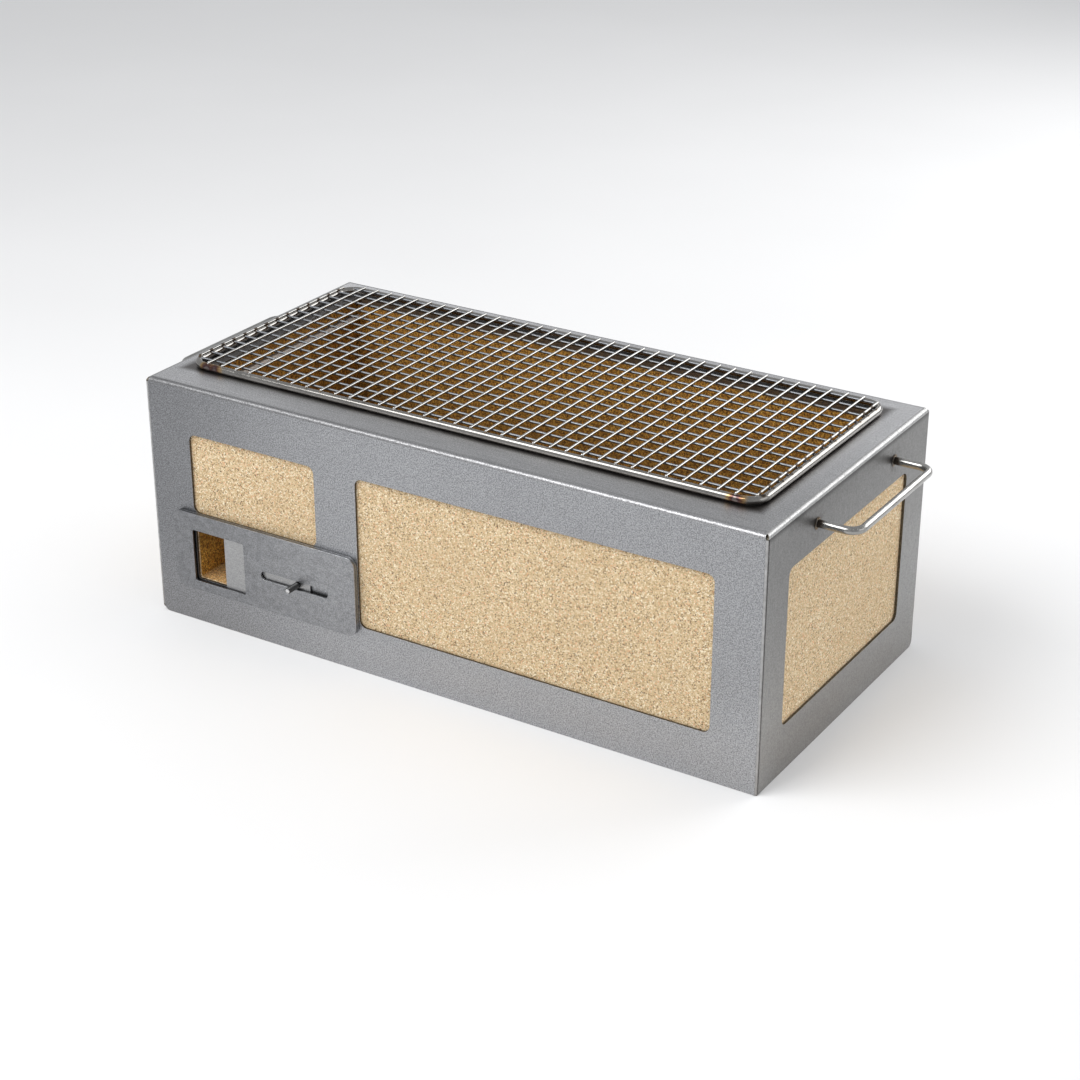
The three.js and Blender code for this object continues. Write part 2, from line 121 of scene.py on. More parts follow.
# ------------------------------------------------------------------ materials
class Graph:
    """A material's nodes, ending in one Principled shader."""

    def __init__(self, name, **values):
        self.material = bpy.data.materials.new(name)
        self.material.use_nodes = True
        self.nodes = self.material.node_tree.nodes
        self.links = self.material.node_tree.links
        self.shader = self.nodes["Principled BSDF"]
        for socket, value in values.items():
            self.shader.inputs[socket.replace("_", " ")].default_value = value
        self.place = self.nodes.new("ShaderNodeTexCoord").outputs["Object"]

    def feed(self, socket, value):
        if isinstance(value, bpy.types.NodeSocket):
            self.links.new(value, socket)
        elif value is not None:
            socket.default_value = value

    def node(self, kind, inputs, output=0, **settings):
        made = self.nodes.new(kind)
        for key, value in settings.items():
            setattr(made, key, value)
        for key, value in inputs.items():
            self.feed(made.inputs[key], value)
        return made.outputs[output]

    def stretched(self, scale, turn=(0, 0, 0)):
        return self.node(
            "ShaderNodeMapping", {"Vector": self.place, "Scale": scale, "Rotation": turn}
        )

    def noise(self, scale, detail=2.0, roughness=0.5, vector=None):
        inputs = {
            "Vector": vector or self.place,
            "Scale": scale,
            "Detail": detail,
            "Roughness": roughness,
        }
        return self.node("ShaderNodeTexNoise", inputs)

    def cells(self, scale, vector):
        """A random colour for each cell of a Voronoi pattern."""
        return self.node("ShaderNodeTexVoronoi", {"Vector": vector, "Scale": scale}, "Color")

    def channel(self, colour, name):
        return self.node("ShaderNodeSeparateColor", {0: colour}, name)

    def math(self, operation, a, b=None, clamp=False):
        inputs = {0: a} if b is None else {0: a, 1: b}
        return self.node("ShaderNodeMath", inputs, operation=operation, use_clamp=clamp)

    def remap(self, value, low, high, to_low=0.0, to_high=1.0):
        inputs = {0: value, 1: low, 2: high, 3: to_low, 4: to_high}
        return self.node("ShaderNodeMapRange", inputs, interpolation_type="SMOOTHSTEP")

    def axis(self, name):
        return self.node("ShaderNodeSeparateXYZ", {0: self.place}, name)

    def ramp(self, value, stops):
        made = self.nodes.new("ShaderNodeValToRGB")
        elements = made.color_ramp.elements
        while len(elements) < len(stops):
            elements.new(0.5)
        for element, (position, colour) in zip(elements, stops):
            element.position = position
            element.color = (*colour, 1)
        self.feed(made.inputs[0], value)
        return made.outputs[0]

    def mix(self, amount, a, b, blend="MIX"):
        a, b = ((*part, 1) if isinstance(part, tuple) else part for part in (a, b))
        inputs = {0: amount, 6: a, 7: b}
        return self.node("ShaderNodeMix", inputs, 2, data_type="RGBA", blend_type=blend)

    def dim(self, colour, factor):
        """colour times a factor that varies over the surface."""
        grey = self.node("ShaderNodeCombineXYZ", {0: factor, 1: factor, 2: factor})
        return self.mix(1.0, colour, grey, "MULTIPLY")

    def blend(self, a, share, b, other_share):
        """Weighted sum of two patterns."""
        return self.math(
            "ADD", self.math("MULTIPLY", a, share), self.math("MULTIPLY", b, other_share)
        )

    def beyond(self, name, low, high):
        """Distance outside low to high along an axis, negative between them."""
        at = self.axis(name)
        return self.math(
            "MAXIMUM", self.math("SUBTRACT", low, at), self.math("SUBTRACT", at, high)
        )

    def near(self, points, reach):
        """1 at any of the points, falling to 0 at reach."""
        nearest = None
        for point in points:
            away = self.node(
                "ShaderNodeVectorMath", {0: self.place, 1: point}, "Value", operation="DISTANCE"
            )
            nearest = away if nearest is None else self.math("MINIMUM", nearest, away)
        return self.remap(nearest, 0.0, reach, 1.0, 0.0)

    def near_row(self, first, pitch, y, z, reach):
        """1 at each point of an endless row along X, falling to 0 at reach."""
        along = self.math("SUBTRACT", self.axis("X"), first)
        across = self.math("SUBTRACT", self.axis("Y"), y)
        up = self.math("SUBTRACT", self.axis("Z"), z)
        along = self.node(
            "ShaderNodeMath", {0: along, 1: pitch / 2, 2: -pitch / 2}, operation="WRAP"
        )
        away = self.node("ShaderNodeCombineXYZ", {0: along, 1: across, 2: up})
        length = self.node("ShaderNodeVectorMath", {0: away}, "Value", operation="LENGTH")
        return self.remap(length, 0.0, reach, 1.0, 0.0)

    def bump(self, height, distance, strength=1.0):
        inputs = {"Height": height, "Distance": distance, "Strength": strength}
        return self.node("ShaderNodeBump", inputs)

    def finish(self, colour=None, roughness=None, normal=None):
        self.feed(self.shader.inputs["Base Color"], colour)
        self.feed(self.shader.inputs["Roughness"], roughness)
        self.feed(self.shader.inputs["Normal"], normal)
        return self.material


# warm tint at the foot of the walls: a painted reflection of the surroundings
WARM_REFLECTION = (0.20, 0.155, 0.115)
# soot at the welds, also used for painted shade under the grid, under the rim and at the wire
# ends
SOOT_AND_SHADE = (0.055, 0.045, 0.038)
WHITE = (1.0, 1.0, 1.0)
BURNT = (0.23, 0.165, 0.10)

# scales of noise and cells, per metre
CLOUDS = 11.0
SHEET_PEEL = 1050.0
STAIN_EDGE = 170.0
ROD_GRAIN = 900.0
BEAD_GRAIN = 1600.0
BEAD_PATCHES = 260.0
BOARD_FLAKES = 1150.0
BOARD_GRAINS = 2000.0
BOARD_SCORCH = 620.0

WARM_REFLECTION_HEIGHT = 60 * MM  # how far up the walls the painted warm reflection reaches
STAIN_HALO = 16 * MM
STAIN_CORE = 6.5 * MM
GRID_SHADE_WANDER = 6 * MM  # raggedness of the painted shade round the cooking grid
GRID_SHADE_REACH = 10 * MM
FLAKE_WARP = 1.2 * MM


def shade(tone, factor):
    return tuple(min(1.0, part * factor) for part in tone)


def sheet_steel(
    name,
    tone,
    grain=(300, 300, 400),
    brushed=0.0,
    rough=0.42,
    warm_reflection=0.0,
    stains=(),
    painted_light=(),
    contrast=0.2,
    painted_grid_shade=None,
):
    """Satin stainless sheet. grain stretches the brushing, and brushed is its share of
    the pattern. The warm tint on the foot is a painted reflection. stains are the points of the
    welds.
    Each fade (axis, from, to, factor, factor) paints light and shade along an axis. The
    rectangle ((left, front), (right, rear), share) gets painted shade within and just round it."""
    g = Graph(name, Metallic=1.0)
    peel = g.noise(SHEET_PEEL, 3.0, 0.55)
    brush = g.noise(1.0, 3.0, 0.6, g.stretched(grain))
    clouds = g.noise(CLOUDS, 4.0, 0.55)
    pattern = g.node("ShaderNodeMix", {0: brushed, 2: peel, 3: brush})
    darker, lighter = shade(tone, 1 - contrast), shade(tone, 1 + contrast)
    colour = g.ramp(pattern, [(0.36, darker), (0.5, tone), (0.64, lighter)])
    cloudy = g.ramp(clouds, [(0.3, (0.93, 0.93, 0.935)), (0.7, WHITE)])
    colour = g.mix(1.0, colour, cloudy, "MULTIPLY")
    scratch = g.noise(1.0, 2.0, 0.5, g.stretched((45, 1300, 1300), (0.35, 0.75, 0.3)))
    colour = g.mix(g.remap(scratch, 0.62, 0.74, 0.0, 0.3), colour, shade(tone, 1.35))
    # painted light and shade: each fade lightens or darkens the sheet along one axis
    for axis, start, end, first, last in painted_light:
        colour = g.dim(colour, g.remap(g.axis(axis), start, end, first, last))
    # painted reflection: a warm tint at the foot, standing in for the surroundings reflected in
    # the steel
    if warm_reflection:
        low = g.remap(g.axis("Z"), 0.0, WARM_REFLECTION_HEIGHT, warm_reflection, 0.0)
        low = g.math("MULTIPLY", low, g.remap(clouds, 0.3, 0.7, 0.5, 1.0))
        colour = g.mix(low, colour, WARM_REFLECTION)
    # painted shade: the rim darkens under and just round the cooking grid, where the grid shades
    # it
    if painted_grid_shade:
        (left, front), (right, rear), darkest = painted_grid_shade
        beyond = g.math("MAXIMUM", g.beyond("X", left, right), g.beyond("Y", front, rear))
        ragged = g.math("ADD", beyond, g.math("MULTIPLY", clouds, GRID_SHADE_WANDER))
        colour = g.mix(g.remap(ragged, 1 * MM, GRID_SHADE_REACH, darkest, 0.0), colour, SOOT_AND_SHADE)
    if stains:
        rough_edge = g.remap(g.noise(STAIN_EDGE, 4.0, 0.6), 0.38, 0.68)
        halo = g.math("MULTIPLY", g.near(stains, STAIN_HALO), rough_edge)
        colour = g.mix(g.math("MULTIPLY", halo, 0.7), colour, SOOT_AND_SHADE)
        colour = g.mix(g.math("MULTIPLY", g.near(stains, STAIN_CORE), 0.85), colour, SOOT_AND_SHADE)
    roughness = g.remap(pattern, 0.3, 0.7, rough + 0.05, rough - 0.05)
    return g.finish(colour, roughness, g.bump(pattern, 0.05 * MM, 0.35))


def bright_rod(name, tone, rough, burns=(), dull=0.25, scale=40.0, row=None):
    """Polished round rod. Each burn (points, reach, colours) colours the rod round its points:
    weld temper colours, and at the grid's wire ends painted shadow with weld darkening. row gives
    the arguments of near_row for a row of crossings darkened by painted shadow and weld soot."""
    g = Graph(name, Metallic=1.0)
    fine = g.noise(ROD_GRAIN, 3.0, 0.6)
    patches = g.noise(scale, 3.0, 0.6)
    colour = g.ramp(
        g.blend(fine, 0.4, patches, 0.6),
        [(0.36, shade(tone, 1 - dull)), (0.5, tone), (0.68, shade(tone, 1.15))],
    )
    # weld temper colours, and at the grid's wire ends painted shadow as well
    for points, spread, stops in burns:
        wander = g.math("MULTIPLY", g.math("SUBTRACT", g.noise(140.0, 3.0), 0.5), 0.7)
        heat = g.math("ADD", g.near(points, spread), wander, clamp=True)
        colour = g.mix(g.remap(heat, 0.08, 0.4), colour, g.ramp(heat, stops))
    # painted shadow with weld soot along a row of crossings
    if row:
        colour = g.mix(g.remap(g.near_row(*row), 0.1, 0.6, 0.0, 0.9), colour, SOOT_AND_SHADE)
    roughness = g.remap(fine, 0.3, 0.7, rough - 0.05, rough + 0.08)
    return g.finish(colour, roughness, g.bump(fine, 0.02 * MM, 0.5))


def insulating_board(name):
    """Pressed mineral flakes, scorched brown inside the fire box."""
    g = Graph(name, Metallic=0.0)
    warp = g.node("ShaderNodeVectorMath", {0: g.noise(700.0), 3: FLAKE_WARP}, operation="SCALE")
    bent = g.node("ShaderNodeVectorMath", {0: g.place, 1: warp}, operation="ADD")
    flakes = g.cells(BOARD_FLAKES, bent)
    flake, fleck = g.channel(flakes, "Red"), g.channel(flakes, "Blue")
    grain = g.channel(g.cells(BOARD_GRAINS, bent), "Green")
    tan = [
        (0.00, (0.16, 0.095, 0.042)),
        (0.10, (0.37, 0.24, 0.115)),
        (0.25, (0.55, 0.39, 0.205)),
        (0.50, (0.665, 0.50, 0.288)),
        (0.80, (0.77, 0.60, 0.37)),
        (0.95, (1.0, 0.92, 0.72)),
    ]
    colour = g.mix(0.25, g.ramp(flake, tan), g.ramp(grain, tan))
    colour = g.mix(g.remap(fleck, 0.93, 0.935, 0.0, 0.65), colour, (0.78, 0.40, 0.22))
    colour = g.mix(g.remap(fleck, 0.044, 0.040, 0.0, 0.95), colour, (0.16, 0.10, 0.055))
    colour = g.mix(g.remap(g.noise(14.0, 3.0), 0.35, 0.7, 0.0, 0.2), colour, (0.58, 0.42, 0.24))

    # faces that look into the fire box, scorched brown; painted light makes them paler towards
    # the rim, and they are paler low down
    depth_x = g.math("DIVIDE", g.math("ABSOLUTE", g.axis("X")), LINED_X)
    depth_y = g.math("DIVIDE", g.math("ABSOLUTE", g.axis("Y")), LINED_Y)
    inside = g.math("LESS_THAN", g.math("MAXIMUM", depth_x, depth_y), 1.0)
    brown = [(0.38, (0.168, 0.094, 0.017)), (0.62, (0.575, 0.395, 0.112))]
    granular = g.ramp(g.noise(BOARD_SCORCH, 3.0, 0.65), brown)
    # painted light: paler towards the rim, where more light reaches into the fire box
    upper = g.remap(g.axis("Z"), 70 * MM, 185 * MM, 1.0, 1.9)
    lower = g.remap(g.axis("Z"), 55 * MM, 85 * MM, 2.1, 1.0)
    granular = g.dim(granular, g.math("MULTIPLY", upper, lower))
    scorched = g.mix(1.0, colour, granular, "MULTIPLY")
    above_floor = g.remap(g.axis("Z"), FLOOR_TOP, FLOOR_TOP + 3 * MM, 0.45, 1.0)
    colour = g.mix(g.math("MULTIPLY", inside, above_floor), colour, scorched)

    # painted shadow on the rear board, under the rim
    at_rear = g.math("GREATER_THAN", g.axis("Y"), REAR_LINING - 1 * MM)
    rim_shadow = g.remap(g.axis("Z"), TOP - 9 * MM, TOP - 7 * MM, 0.0, 0.88)
    rim_shadow = g.math("MULTIPLY", at_rear, g.math("MULTIPLY", inside, rim_shadow))
    colour = g.mix(rim_shadow, colour, SOOT_AND_SHADE)

    relief = g.blend(flake, 0.5, g.noise(1300.0, 3.0), 0.5)
    return g.finish(colour, g.remap(grain, 0.0, 1.0, 0.8, 0.98), g.bump(relief, 0.2 * MM, 0.45))


def ledge_metal(name):
    """Ledge steel, dulled by heat, with a painted highlight along its free edge."""
    g = Graph(name, Metallic=0.15)
    # painted highlight: near-white along the ledge's free edge, with a ragged reach
    highlight_wander = g.noise(160.0, 3.0)
    inward = g.math("SUBTRACT", g.math("ABSOLUTE", g.axis("X")), LEDGE_EDGE)
    highlight_reach = g.math("ADD", inward, g.math("MULTIPLY", highlight_wander, 2 * MM))
    edge_highlight = g.remap(highlight_reach, 2.6 * MM, 3.8 * MM, 1.0, 0.0)
    brush = g.noise(1.0, 3.0, 0.6, g.stretched((900, 60, 900)))
    dulled = g.ramp(brush, [(0.35, (0.20, 0.195, 0.185)), (0.65, (0.32, 0.31, 0.295))])
    colour = g.mix(edge_highlight, dulled, (1.0, 1.0, 0.99))
    return g.finish(colour, g.remap(brush, 0.3, 0.7, 0.34, 0.48), g.bump(brush, 0.03 * MM, 0.4))


def weld_metal(name, tone):
    """Rippled bead, dulled and browned by heat."""
    g = Graph(name, Metallic=1.0)
    tones = [(0.32, shade(tone, 0.4)), (0.46, BURNT), (0.55, tone), (0.7, shade(tone, 1.5))]
    colour = g.ramp(g.noise(BEAD_PATCHES, 3.0), tones)
    fine = g.noise(BEAD_GRAIN, 3.0)
    return g.finish(colour, g.remap(fine, 0.3, 0.7, 0.35, 0.6), g.bump(fine, 0.08 * MM, 0.7))


def seam_metal(name, tone):
    """Weld seam ground flush with the sheet."""
    g = Graph(name, Metallic=1.0)
    brush = g.noise(1.0, 3.0, 0.6, g.stretched((900, 900, 60)))
    patches = g.noise(220.0, 3.0)
    colour = g.ramp(
        g.blend(brush, 0.4, patches, 0.6),
        [(0.35, shade(tone, 0.8)), (0.5, tone), (0.65, shade(tone, 1.25))],
    )
    # painted reflection: the same warm tint at the seam's foot as on the walls
    colour = g.mix(g.remap(g.axis("Z"), 0.0, WARM_REFLECTION_HEIGHT, 0.25, 0.0), colour, WARM_REFLECTION)
    return g.finish(colour, g.remap(brush, 0.3, 0.7, 0.34, 0.5), g.bump(patches, 0.06 * MM, 0.4))


# ------------------------------------------------------------------ mesh tools
def rounded_loop(left, bottom, right, top, radii, steps=8):
    """Corner points of a rounded rectangle, anticlockwise from the lower left."""
    if not isinstance(radii, (list, tuple)):
        radii = [radii] * 4
    corners = [
        (left, bottom, 1, 1, 180),
        (right, bottom, -1, 1, 270),
        (right, top, -1, -1, 0),
        (left, top, 1, -1, 90),
    ]
    loop = []
    for (x, y, sx, sy, start), radius in zip(corners, radii):
        if not radius:
            loop.append((x, y))
            continue
        for step in range(steps + 1):
            angle = math.radians(start + 90 * step / steps)
            centre = (x + sx * radius, y + sy * radius)
            loop.append(
                (centre[0] + radius * math.cos(angle), centre[1] + radius * math.sin(angle))
            )
    return loop


def fill_region(bm, outline, holes, place, normal, material=0):
    """A flat face with holes, facing along normal; place turns (u, v) into a point."""
    edges = []
    for loop in (outline, *holes):
        verts = [bm.verts.new(place(u, v)) for u, v in loop]
        edges += [bm.edges.new((verts[i - 1], verts[i])) for i in range(len(verts))]
    made = bmesh.ops.triangle_fill(bm, edges=edges, use_beauty=True, normal=normal)
    for face in made["geom"]:
        if isinstance(face, bmesh.types.BMFace):
            face.normal_update()
            if face.normal.dot(normal) < 0:
                face.normal_flip()
            face.material_index = material


def add_strip(bm, rows, material=0):
    """Quads between neighbouring rows of points."""
    rows = [[bm.verts.new(point) for point in row] for row in rows]
    for upper, lower in zip(rows, rows[1:]):
        for i in range(len(upper) - 1):
            face = bm.faces.new((upper[i], lower[i], lower[i + 1], upper[i + 1]))
            face.material_index = material


def rounded_path(corners, radius, steps=10):
    """Points along straight runs, with each inner corner rounded."""
    corners = [Vector(corner) for corner in corners]
    path = [corners[0]]
    for before, here, after in zip(corners, corners[1:], corners[2:]):
        into = (here - before).normalized()
        out = (after - here).normalized()
        centre = here - into * radius + out * radius
        for step in range(steps + 1):
            angle = math.pi / 2 * step / steps
            back = out * (radius * math.cos(angle))
            path.append(centre - back + into * (radius * math.sin(angle)))
    path.append(corners[-1])
    return path


def sweep(bm, path, radius, sides=12, chamfer=0.0, closed=False):
    """A round rod along a path; an open one may have chamfered ends."""
    if chamfer:
        start = path[0] + (path[1] - path[0]).normalized() * chamfer
        end = path[-1] - (path[-1] - path[-2]).normalized() * chamfer
        path = [path[0], start, *path[1:-1], end, path[-1]]
    count = len(path)
    tangents = []
    for i in range(count):
        before = path[i - 1] if i or closed else path[i]
        after = path[(i + 1) % count] if i < count - 1 or closed else path[i]
        tangents.append((after - before).normalized())
    side = tangents[0].orthogonal().normalized()
    if abs(tangents[0].z) < 0.9:
        side = tangents[0].cross(Vector((0, 0, 1))).normalized()
    rings = []
    for i, point in enumerate(path):
        if i:
            side = tangents[i - 1].rotation_difference(tangents[i]) @ side
        up = tangents[i].cross(side)
        size = radius - chamfer if i in (0, count - 1) else radius
        ring = []
        for k in range(sides):
            angle = 2 * math.pi * k / sides
            out = side * (size * math.cos(angle))
            ring.append(bm.verts.new(point + out + up * (size * math.sin(angle))))
        rings.append(ring)
    pairs = list(zip(rings, rings[1:]))
    if closed:
        pairs.append((rings[-1], rings[0]))
    for a, b in pairs:
        for k in range(sides):
            bm.faces.new((a[k], a[(k + 1) % sides], b[(k + 1) % sides], b[k]))
    if not closed:
        bm.faces.new(rings[0][::-1])
        bm.faces.new(rings[-1])


def nugget(bm, centre, size, sides=10, rings=5):
    """A small flattened blob of weld metal."""
    turn = Matrix.Rotation(rng.uniform(0, math.pi), 4, "Z")
    matrix = Matrix.Translation(centre) @ turn @ Matrix.Diagonal((*size, 1))
    made = bmesh.ops.create_uvsphere(
        bm, u_segments=sides, v_segments=rings, radius=1, matrix=matrix
    )
    for vert in made["verts"]:
        vert.co += Vector([rng.uniform(-0.06, 0.06) * part for part in size])


def make_piece(name, bm, body, materials, replaced=(), smooth_angle=38):
    """Turns bm into an object that rides on body, with edges above smooth_angle kept sharp."""
    bmesh.ops.remove_doubles(bm, verts=bm.verts, dist=0.001 * MM)
    bmesh.ops.recalc_face_normals(bm, faces=bm.faces)
    limit = math.radians(smooth_angle)
    for face in bm.faces:
        face.smooth = True
    for edge in bm.edges:
        edge.smooth = len(edge.link_faces) != 2 or edge.calc_face_angle(0) < limit
    mesh = bpy.data.meshes.new(name)
    bm.to_mesh(mesh)
    bm.free()
    for material in materials:
        mesh.materials.append(material)
    piece = bpy.data.objects.new(name, mesh)
    bpy.context.scene.collection.objects.link(piece)
    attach(piece, body)
    if replaced:
        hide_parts(*replaced)
    return piece


def thicken(piece, thickness, cut_edges=0):
    """Gives a skin its thickness, inwards. cut_edges is the step from a face's material
    to the one on the sheet's cut edge."""
    solid = piece.modifiers.new("sheet", "SOLIDIFY")
    solid.material_offset_rim = cut_edges
    solid.thickness = thickness
    solid.offset = -1
    solid.use_even_offset = True


def round_edges(piece, width):
    bevel = piece.modifiers.new("edges", "BEVEL")
    bevel.width = width
    bevel.segments = 2
    bevel.limit_method = "ANGLE"
    bevel.angle_limit = math.radians(40)
    bevel.harden_normals = True
    bevel.use_clamp_overlap = False
    bevel.loop_slide = False


# ------------------------------------------------------------------ casing
def casing_sheet(materials, cut_edge):
    """The casing's outer skin: a top with four walls folded down from it."""
    top, front, side, front_fold, side_fold = range(5)
    bm = bmesh.new()
    inner_x, inner_y = HALF_X - BEND, HALF_Y - BEND
    opening = rounded_loop(
        -HALF_X + RIM["left"],
        -HALF_Y + RIM["front"],
        HALF_X - RIM["right"],
        HALF_Y - RIM["rear"],
        RIM_CORNER,
    )
    rim = [(-inner_x, -inner_y), (inner_x, -inner_y), (inner_x, inner_y), (-inner_x, inner_y)]
    fill_region(bm, rim, [opening], lambda u, v: Vector((u, v, TOP)), Vector((0, 0, 1)), top)

    def wall(along, outward, half, reach, seam, holes, foot_radii, material, fold):
        """One wall and its fold. along and outward are unit vectors, half is half the
        casing's size along the wall and reach its distance from the middle."""

        def place(u, z):
            return along * u + outward * reach + Vector((0, 0, z))

        end = half - seam
        outline = rounded_loop(-end, 0, end, TOP - BEND, [*foot_radii, 0, 0], 6)
        fill_region(bm, outline, holes, place, outward, material)
        rows = []
        steps = 8
        for step in range(steps + 1):
            angle = math.pi / 2 * step / steps
            gap = seam * math.sin(angle) ** 2 + RELIEF * math.sin(2 * angle) ** 2
            limit = half - BEND + BEND * math.sin(angle) - gap
            out = outward * (reach - BEND + BEND * math.sin(angle))
            up = Vector((0, 0, TOP - BEND + BEND * math.cos(angle)))
            rows.append([along * -limit + out + up, along * limit + out + up])
        add_strip(bm, rows, fold)

    x, y = Vector((1, 0, 0)), Vector((0, 1, 0))
    left_round, right_round = [FOOT_CORNER, FOOT_SHARP], [FOOT_SHARP, FOOT_CORNER]
    long_wall = (HALF_X, HALF_Y, SEAM_FRONT)
    holes = [rounded_loop(*window, WINDOW_CORNER) for window in FRONT_WINDOWS]
    holes.append(rounded_loop(*INLET, INLET_CORNER, 4))
    wall(x, -y, *long_wall, holes, left_round, front, front_fold)
    holes = [
        rounded_loop(-right, bottom, -left, top_edge, WINDOW_CORNER)
        for left, bottom, right, top_edge in REAR_WINDOWS
    ]
    wall(-x, y, *long_wall, holes, right_round, front, front_fold)
    end_wall = (HALF_Y, HALF_X, SEAM_SIDE, [rounded_loop(*SIDE_WINDOW, WINDOW_CORNER)])
    wall(y, x, *end_wall, right_round, side, side_fold)
    wall(-y, -x, *end_wall, right_round, side, side_fold)
    bmesh.ops.remove_doubles(bm, verts=bm.verts, dist=0.001 * MM)
    skins = [*materials, *[cut_edge] * len(materials)]
    piece = make_piece("casing_sheet", bm, "body", skins, ["casing"])
    thicken(piece, SHEET, len(materials))
    round_edges(piece, CUT_EDGE_BEVEL)


def corner_seams(material):
    """Ground weld along each upright corner, between the front or rear wall and a side wall."""
    bm = bmesh.new()
    gap = 0.05 * MM
    width, depth = SEAM_FRONT - gap, SHEET
    corner = 1.1 * MM
    arc = [math.radians(angle) for angle in (0, 22, 45, 68, 90)]
    levels = 70
    foot, head = 0.8 * MM, TOP - BEND - 0.6 * MM
    for sx in (-1, 1):
        for sy in (-1, 1):
            start = FOOT_CORNER if sx * sy > 0 else foot
            rows = []
            for level in range(levels + 1):
                z = start + (head - start) * level / levels
                swell = rng.uniform(-0.02, 0.02) * MM
                section = [(width, depth), (width, swell + gap)]
                section += [
                    (corner - corner * math.sin(angle), corner - corner * math.cos(angle) + swell)
                    for angle in arc
                ]
                section.append((0.0, depth))
                rows.append(
                    [Vector((sx * (HALF_X - a), sy * (HALF_Y - b), z)) for a, b in section]
                )
            rings = [[bm.verts.new(point) for point in row] for row in rows]
            for lower, upper in zip(rings, rings[1:]):
                for i in range(len(lower)):
                    bm.faces.new((lower[i - 1], lower[i], upper[i], upper[i - 1]))
            bm.faces.new(rings[0])
            bm.faces.new(rings[-1][::-1])
    make_piece("corner_seams", bm, "body", [material], smooth_angle=50)


# ------------------------------------------------------------------ air inlet
def plate(name, node, corner, holes, body, material, edge):
    """A flat upright plate in place of a CAD node, its face looking along -Y."""
    low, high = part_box(node)
    bm = bmesh.new()
    outline = rounded_loop(low.x, low.z, high.x, high.z, corner, 10)
    fill_region(bm, outline, holes, lambda u, v: Vector((u, low.y, v)), Vector((0, -1, 0)))
    piece = make_piece(name, bm, body, [material], [node])
    thicken(piece, high.y - low.y)
    round_edges(piece, edge)


def damper_stud(materials):
    """A threaded stud: one surface whose radius follows the thread's helix."""
    low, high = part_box("damper_stud")
    centre = (low + high) / 2
    radius = (high.x - low.x) / 2
    flank = 1.15  # above 1, the thread's crests are flat
    sides, per_turn = 32, 10
    length = high.y - low.y
    rows = int(length / THREAD["pitch"] * per_turn)
    bm = bmesh.new()
    rings = []
    for row in range(rows + 1):
        along = length * row / rows
        ring = []
        for k in range(sides):
            angle = 2 * math.pi * k / sides
            phase = (along / THREAD["pitch"] - k / sides) % 1.0
            cut = 0
            if along < length - THREAD["plain_end"]:
                cut = THREAD["depth"] * (1 - abs(2 * phase - 1) * flank)
            size = min(radius - max(0.0, cut), radius - THREAD["chamfer"] + along)
            x, z = centre.x + size * math.cos(angle), centre.z + size * math.sin(angle)
            ring.append(bm.verts.new((x, low.y + along, z)))
        rings.append(ring)
    for a, b in zip(rings, rings[1:]):
        for k in range(sides):
            bm.faces.new((a[k], a[(k + 1) % sides], b[(k + 1) % sides], b[k]))
    bm.faces.new(rings[0]).material_index = 1
    bm.faces.new(rings[-1][::-1])
    make_piece("stud", bm, "damper", materials, ["damper_stud"], 60)


# ------------------------------------------------------------------ handles
def handle(name, node, material):
    low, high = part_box(node)
    radius = HANDLE_ROD / 2
    side = 1 if low.x > 0 else -1
    root = side * min(abs(low.x), abs(high.x))
    grip = side * (max(abs(low.x), abs(high.x)) - radius)
    near, far = low.y + radius, high.y - radius
    z = (low.z + high.z) / 2
    corners = [(root, near, z), (grip, near, z), (grip, far, z), (root, far, z)]
    bm = bmesh.new()
    sweep(bm, rounded_path(corners, HANDLE_BEND, 14), radius, 28)
    make_piece(name, bm, "body", [material], [node])


def weld_ring(name, node, material):
    """A rippled fillet round the root of a handle."""
    low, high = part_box(node)
    centre = (low + high) / 2
    side = 1 if centre.x > 0 else -1
    foot = low.x if side > 0 else high.x
    inner = HANDLE_ROD / 2
    sunk = inner - 0.2 * MM
    outer = inner + ((high.y - low.y) / 2 - inner) * 0.6
    height = (high.x - low.x) * 0.5
    turns, section = 64, 7
    bm = bmesh.new()
    rings = []
    for i in range(turns):
        angle = 2 * math.pi * i / turns
        ripple = 1 + 0.10 * math.sin(angle * 17) + 0.08 * math.sin(angle * 3 + 1)
        ripple += rng.uniform(-0.03, 0.03)
        profile = []
        for j in range(section):
            t = math.pi / 2 * j / (section - 1)
            away = inner + (outer - inner) * (1 - math.sin(t) * 0.96) * ripple
            lift = height * (1 - math.cos(t)) * ripple
            profile.append((away, lift))
        profile += [(sunk, height * 0.5), (sunk, 0.0)]
        ring = []
        for away, lift in profile:
            y, z = centre.y + away * math.cos(angle), centre.z + away * math.sin(angle)
            ring.append(bm.verts.new((foot + side * lift, y, z)))
        rings.append(ring)
    for i in range(turns):
        a, b = rings[i - 1], rings[i]
        for j in range(len(a)):
            bm.faces.new((a[j - 1], a[j], b[j], b[j - 1]))
    make_piece(name, bm, "body", [material], [node], 60)


